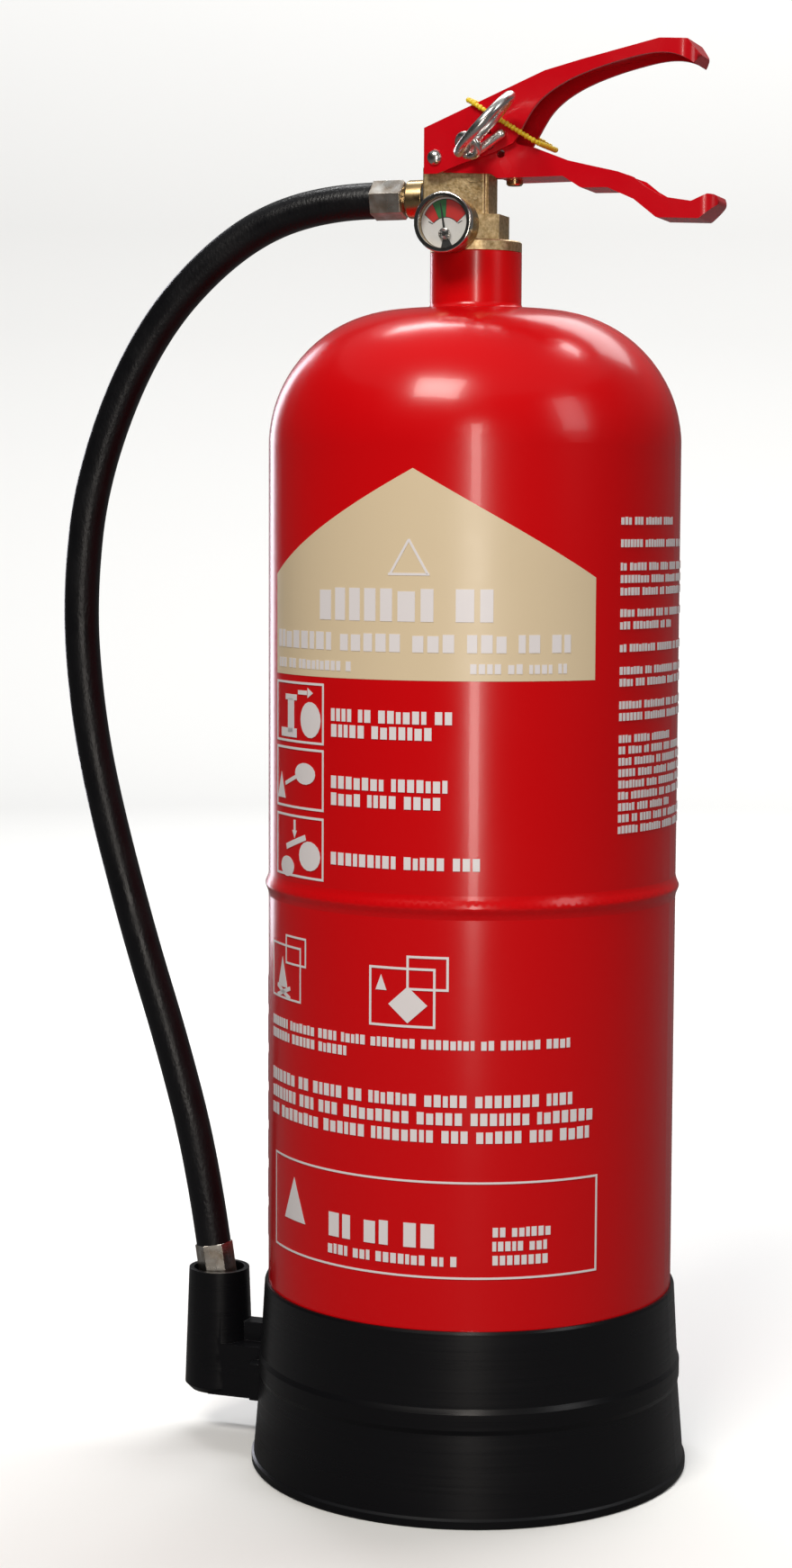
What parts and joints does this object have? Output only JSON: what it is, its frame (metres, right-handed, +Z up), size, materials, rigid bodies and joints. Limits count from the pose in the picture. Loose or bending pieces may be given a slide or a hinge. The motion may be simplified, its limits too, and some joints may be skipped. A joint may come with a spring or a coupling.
{
  "type": "fire extinguisher",
  "caption": "Stored-pressure fire extinguisher: upright cylinder on a skirt, squeeze-lever valve with gauge, safety pin with ring, and a side hose whose nozzle stands in a holder.",
  "frame": {"origin": "on the cylinder's axis, in the plane of the floor the skirt stands on", "axes": "+Z up the cylinder's axis, +X towards the free ends of the two handles, -Y towards the side with the pressure gauge"},
  "size_m": [0.2735, 0.1734, 0.5533],
  "materials": {
    "skirt_plastic": "black moulded plastic, satin",
    "red_paint": "gloss red powder paint",
    "cast_brass": "sand cast, tumbled",
    "turned_brass": "turned",
    "plated_steel": "zinc plated",
    "spring_steel": "drawn wire",
    "brown_steel": "chromated, crimped",
    "nickel": "nickel plated",
    "seal_rubber": "moulded rubber",
    "hose_rubber": "smooth rubber with a fine cloth grain",
    "tube_plastic": "white extruded plastic",
    "seal_plastic": "yellow thin plastic cord",
    "clear_lens": "clear",
    "dial_paint": "printed dial",
    "needle_paint": "black paint"
  },
  "bodies": {
    "extinguisher": {"base_skirt": "skirt_plastic", "nozzle_holder": "skirt_plastic", "cylinder_shell": "red_paint", "neck_ring": "red_paint", "neck_o_ring": "seal_rubber", "valve_body": "cast_brass", "gland_nut": "turned_brass", "stem_o_ring": "seal_rubber", "spring_plug": "turned_brass", "dip_tube": "tube_plastic", "dip_strainer": "tube_plastic", "carry_handle": "red_paint", "handle_screw": "turned_brass", "lever_pivot": "plated_steel", "tamper_seal": "seal_plastic", "gauge_case": "turned_brass", "gauge_bezel": "nickel", "gauge_lens": "clear_lens", "gauge_dial": "dial_paint", "gauge_hub": "nickel", "gauge_tube": "turned_brass", "gauge_seal": "seal_rubber", "hose_adaptor": "turned_brass", "outlet_washer": "seal_rubber", "hose_ferrule_valve": "brown_steel", "hose": "hose_rubber", "hose_ferrule_nozzle": "brown_steel", "spray_nozzle": "skirt_plastic"},
    "lever": {"operating_lever": "red_paint"},
    "stem": {"valve_stem": "turned_brass", "stem_seal": "seal_rubber", "stem_spring": "spring_steel"},
    "pin": {"safety_pin": "plated_steel"},
    "ring": {"pull_ring": "plated_steel"},
    "needle": {"gauge_needle": "needle_paint"}
  },
  "joints": [
    {"name": "lever_squeeze", "type": "hinge", "parent": "extinguisher", "child": "lever", "pos_m": [-0.013, 0, 0.5125], "axis": [0, 1, 0], "range_deg": [0, 12], "stiffness_Nm_per_rad": 2, "springref_deg": -14.32},
    {"name": "stem_travel", "type": "slide", "parent": "extinguisher", "child": "stem", "axis": [0, 0, -1], "range_m": [0, 0.0038], "deforming": ["stem_spring"]},
    {"name": "pin_pull", "type": "slide", "parent": "extinguisher", "child": "pin", "axis": [0, -1, 0], "range_m": [0, 0.032]},
    {"name": "ring_swing", "type": "hinge", "parent": "pin", "child": "ring", "pos_m": [0.00383, -0.02249, 0.5153], "axis": [-0.3081, -0.7682, -0.5612], "range_deg": [0, 30]},
    {"name": "needle_turn", "type": "hinge", "parent": "extinguisher", "child": "needle", "pos_m": [-0.0038, -0.0268, 0.4821], "axis": [0, 1, 0], "range_deg": [-38, 56], "stiffness_Nm_per_rad": 0.0005}
  ],
  "couplings": [
    {"joint": "stem_travel", "follows": "lever_squeeze", "m_per_rad": 0.017647}
  ]
}
